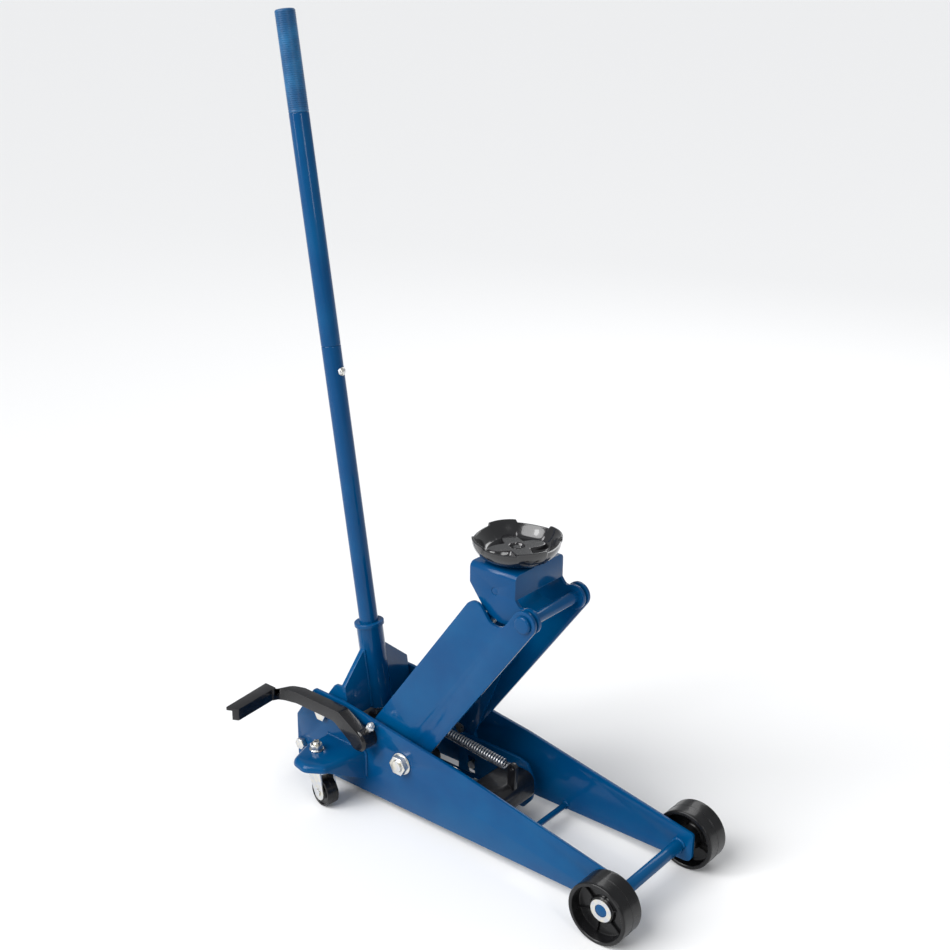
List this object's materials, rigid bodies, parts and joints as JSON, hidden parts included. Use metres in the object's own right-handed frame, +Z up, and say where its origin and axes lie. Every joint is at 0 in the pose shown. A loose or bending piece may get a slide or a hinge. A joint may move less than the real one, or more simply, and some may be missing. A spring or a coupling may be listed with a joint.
{
  "type": "trolley jack",
  "caption": "Wheeled hydraulic floor jack with a pivoting lift arm, a dished swivelling saddle, a long pump handle, a foot pedal and swivelling rear casters.",
  "frame": {"origin": "on the ground, under the middle of the whole jack's box with the arm raised and the handle upright", "axes": "+X points to the front wheels and the saddle end, +Y to the jack's left, +Z up; the pedal is on the right side"},
  "size_m": [0.8033, 0.4184, 1.2647],
  "materials": {
    "blue_paint": "gloss mid-blue enamel over pressed steel",
    "zinc": "bright zinc plate",
    "bright_steel": "ground steel",
    "chrome": "hard chrome",
    "spring_steel": "oiled spring wire",
    "black_casting": "black enamel on a sand casting",
    "black_paint": "gloss black enamel",
    "blue_grip": "moulded ribbed sleeve",
    "black_wheel": "gloss black cast wheel",
    "caster_tyre": "black moulded wheel"
  },
  "bodies": {
    "root": {"right_side_plate": "blue_paint", "left_side_plate": "blue_paint", "front_axle": "blue_paint", "axle_washers": "zinc", "cross_brace": "blue_paint", "rear_tie_bolt": "zinc", "right_caster_bracket": "blue_paint", "left_caster_bracket": "blue_paint", "power_unit": "black_casting", "ram_cylinder": "black_casting", "link_anchor": "blue_paint", "anchor_pin": "zinc", "pump_spring": "spring_steel", "return_spring": "spring_steel", "pivot_bolts": "zinc", "pivot_spacers": "zinc", "pivot_nuts": "zinc", "yoke_bolts": "zinc"},
    "lift_arm": {"right_arm_plate": "blue_paint", "left_arm_plate": "blue_paint", "arm_web": "blue_paint", "right_horn_plate": "blue_paint", "left_horn_plate": "blue_paint", "horn_pins": "zinc", "saddle_pin": "blue_paint"},
    "levelling_rods": {"right_levelling_rod": "zinc", "left_levelling_rod": "zinc"},
    "saddle_bracket": {"saddle_bracket": "blue_paint", "link_pin": "blue_paint"},
    "saddle": {"saddle": "black_casting", "saddle_nut": "zinc"},
    "ram_head": {"ram": "chrome", "crosshead": "black_casting", "right_side_link": "blue_paint", "left_side_link": "blue_paint", "link_bolts": "zinc"},
    "handle_yoke": {"handle_socket": "blue_paint", "pump_cam": "blue_paint"},
    "pump_roller": {"pump_roller": "bright_steel"},
    "pump_plunger": {"pump_plunger": "bright_steel"},
    "handle": {"lower_handle": "blue_paint", "upper_handle": "blue_paint", "grip": "blue_grip", "joint_bolt": "zinc", "release_dog": "zinc"},
    "release_spindle": {"release_spindle": "zinc"},
    "foot_pedal": {"foot_pedal": "black_paint", "pedal_crank": "zinc", "pedal_set_bolt": "zinc"},
    "right_caster": {"right_caster_fork": "zinc", "right_caster_stem": "zinc", "right_caster_rivet": "zinc"},
    "left_caster": {"left_caster_fork": "zinc", "left_caster_stem": "zinc", "left_caster_rivet": "zinc"},
    "right_caster_wheel": {"right_caster_wheel": "caster_tyre"},
    "left_caster_wheel": {"left_caster_wheel": "caster_tyre"},
    "right_front_wheel": {"right_front_wheel": "black_wheel"},
    "left_front_wheel": {"left_front_wheel": "black_wheel"}
  },
  "joints": [
    {"name": "lift_arm_pivot", "type": "hinge", "parent": "root", "child": "lift_arm", "pos_m": [-0.0755, 0.021, 0.102], "axis": [0, -1, 0], "range_deg": [-46, 2]},
    {"name": "levelling_rod_pivot", "type": "hinge", "parent": "root", "child": "levelling_rods", "pos_m": [-0.1395, 0.021, 0.132], "axis": [0, -1, 0], "range_deg": [-47, 3]},
    {"name": "saddle_bracket_pivot", "type": "hinge", "parent": "lift_arm", "child": "saddle_bracket", "pos_m": [0.1537, 0.021, 0.42333], "axis": [0, -1, 0], "range_deg": [-3, 47]},
    {"name": "saddle_swivel", "type": "hinge", "parent": "saddle_bracket", "child": "saddle", "pos_m": [0.0845, 0.021, 0.4886], "axis": [0, 0, 1], "continuous": true},
    {"name": "ram_slide", "type": "slide", "parent": "root", "child": "ram_head", "axis": [1, 0, 0], "range_m": [-0.052, 0.003], "deforming": ["return_spring"]},
    {"name": "handle_pump", "type": "hinge", "parent": "root", "child": "handle_yoke", "pos_m": [-0.2575, 0.021, 0.127], "axis": [0, -1, 0], "range_deg": [0, 62]},
    {"name": "pump_roller_spin", "type": "hinge", "parent": "handle_yoke", "child": "pump_roller", "pos_m": [-0.2685, -0.009, 0.10795], "axis": [0, 1, 0], "continuous": true},
    {"name": "pump_plunger_slide", "type": "slide", "parent": "root", "child": "pump_plunger", "axis": [1, 0, 0], "range_m": [0, 0.0235], "deforming": ["pump_spring"]},
    {"name": "handle_turn", "type": "hinge", "parent": "handle_yoke", "child": "handle", "pos_m": [-0.20752, 0.021, 0.13492], "axis": [-0.1564, 0, 0.9877], "range_deg": [0, 60]},
    {"name": "release_turn", "type": "hinge", "parent": "root", "child": "release_spindle", "pos_m": [-0.2055, 0.021, 0.1], "axis": [0, 0, 1], "range_deg": [0, 60]},
    {"name": "foot_pedal_press", "type": "hinge", "parent": "root", "child": "foot_pedal", "pos_m": [-0.1485, -0.078, 0.127], "axis": [0, -1, 0], "range_deg": [0, 22], "stiffness_Nm_per_rad": 12, "springref_deg": -28.65},
    {"name": "right_caster_swivel", "type": "hinge", "parent": "root", "child": "right_caster", "pos_m": [-0.2235, -0.116, 0.087], "axis": [0, 0, 1], "continuous": true},
    {"name": "right_caster_roll", "type": "hinge", "parent": "right_caster", "child": "right_caster_wheel", "pos_m": [-0.20092, -0.12039, 0.025], "axis": [0.1908, 0.9816, 0], "continuous": true},
    {"name": "right_wheel_roll", "type": "hinge", "parent": "root", "child": "right_front_wheel", "pos_m": [0.3515, -0.0975, 0.05], "axis": [0, 1, 0], "continuous": true},
    {"name": "left_caster_swivel", "type": "hinge", "parent": "root", "child": "left_caster", "pos_m": [-0.2235, 0.158, 0.087], "axis": [0, 0, 1], "continuous": true},
    {"name": "left_caster_roll", "type": "hinge", "parent": "left_caster", "child": "left_caster_wheel", "pos_m": [-0.20092, 0.16239, 0.025], "axis": [-0.1908, 0.9816, 0], "continuous": true},
    {"name": "left_wheel_roll", "type": "hinge", "parent": "root", "child": "left_front_wheel", "pos_m": [0.3515, 0.1395, 0.05], "axis": [0, 1, 0], "continuous": true}
  ],
  "couplings": [
    {"joint": "levelling_rod_pivot", "follows": "lift_arm_pivot", "ratio": 1},
    {"joint": "saddle_bracket_pivot", "follows": "lift_arm_pivot", "ratio": -1},
    {"joint": "ram_slide", "follows": "lift_arm_pivot", "m_per_rad": 0.06199},
    {"joint": "pump_plunger_slide", "follows": "handle_pump", "m_per_rad": 0.02094},
    {"joint": "release_turn", "follows": "handle_turn", "ratio": 1}
  ]
}
